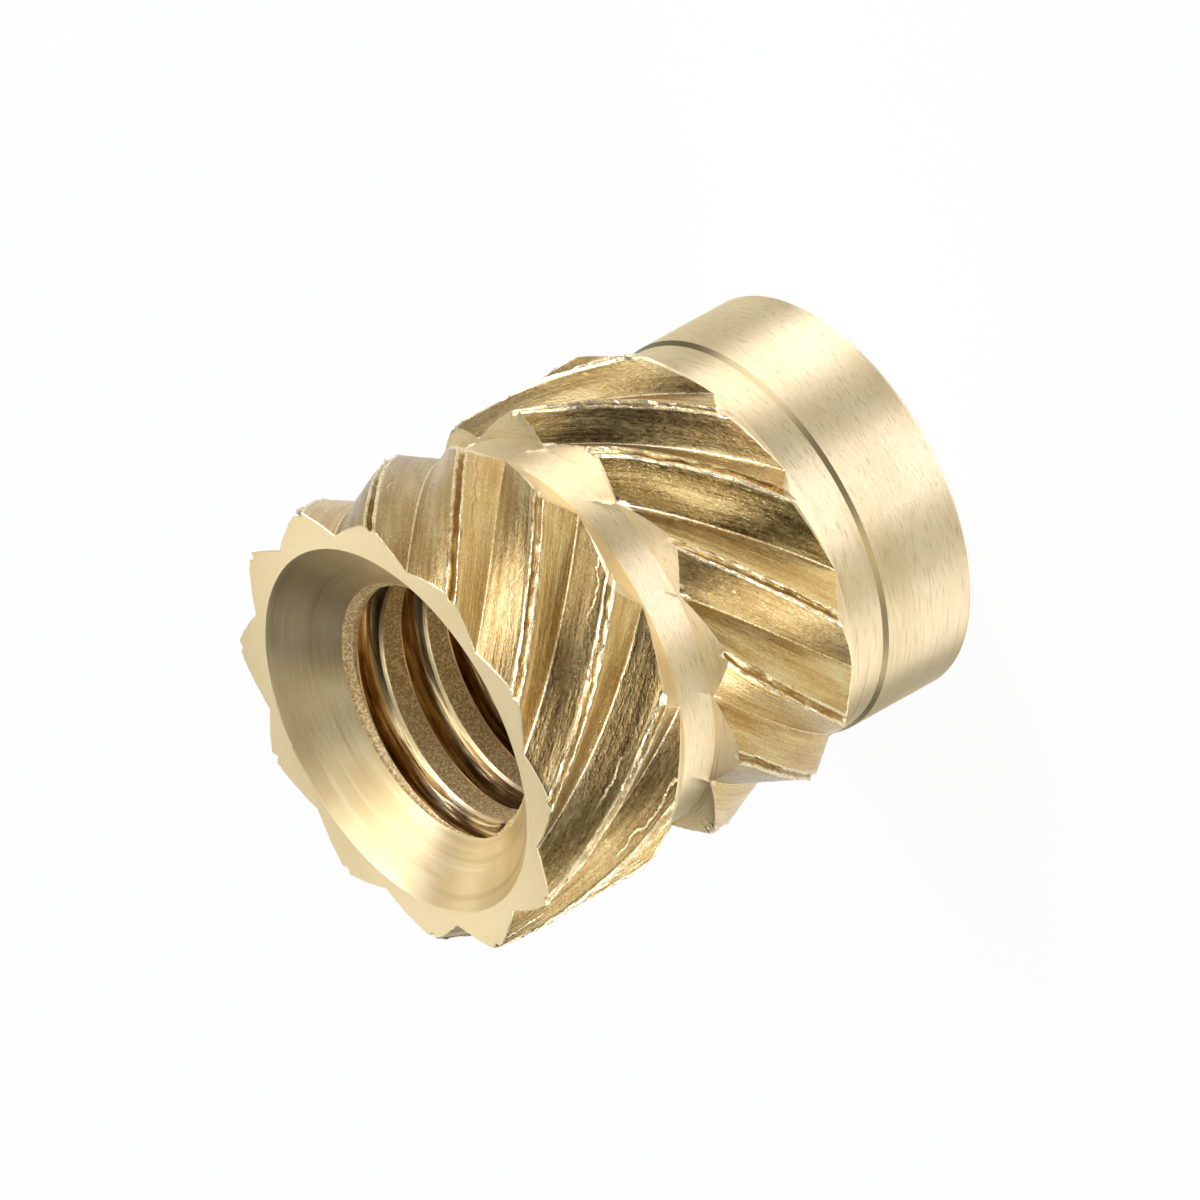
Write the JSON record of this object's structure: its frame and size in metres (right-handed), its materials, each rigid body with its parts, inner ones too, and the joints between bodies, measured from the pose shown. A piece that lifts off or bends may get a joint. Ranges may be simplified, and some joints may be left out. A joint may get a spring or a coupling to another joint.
{
  "type": "threaded insert",
  "caption": "Brass heat-set threaded insert: knurled, grooved outside with a plain pilot, countersunk tapped through hole inside.",
  "frame": {"origin": "centre of the pilot's plain end face, on the insert's axis", "axes": "+Z along the axis from the pilot end to the countersunk, knurled end, the way the screw leaves; +X through a tooth root at the upper face"},
  "size_m": [0.006, 0.006, 0.007],
  "materials": {
    "brass": "turned and knurled, bright"
  },
  "bodies": {
    "root": {"insert_body": "brass"}
  },
  "joints": []
}
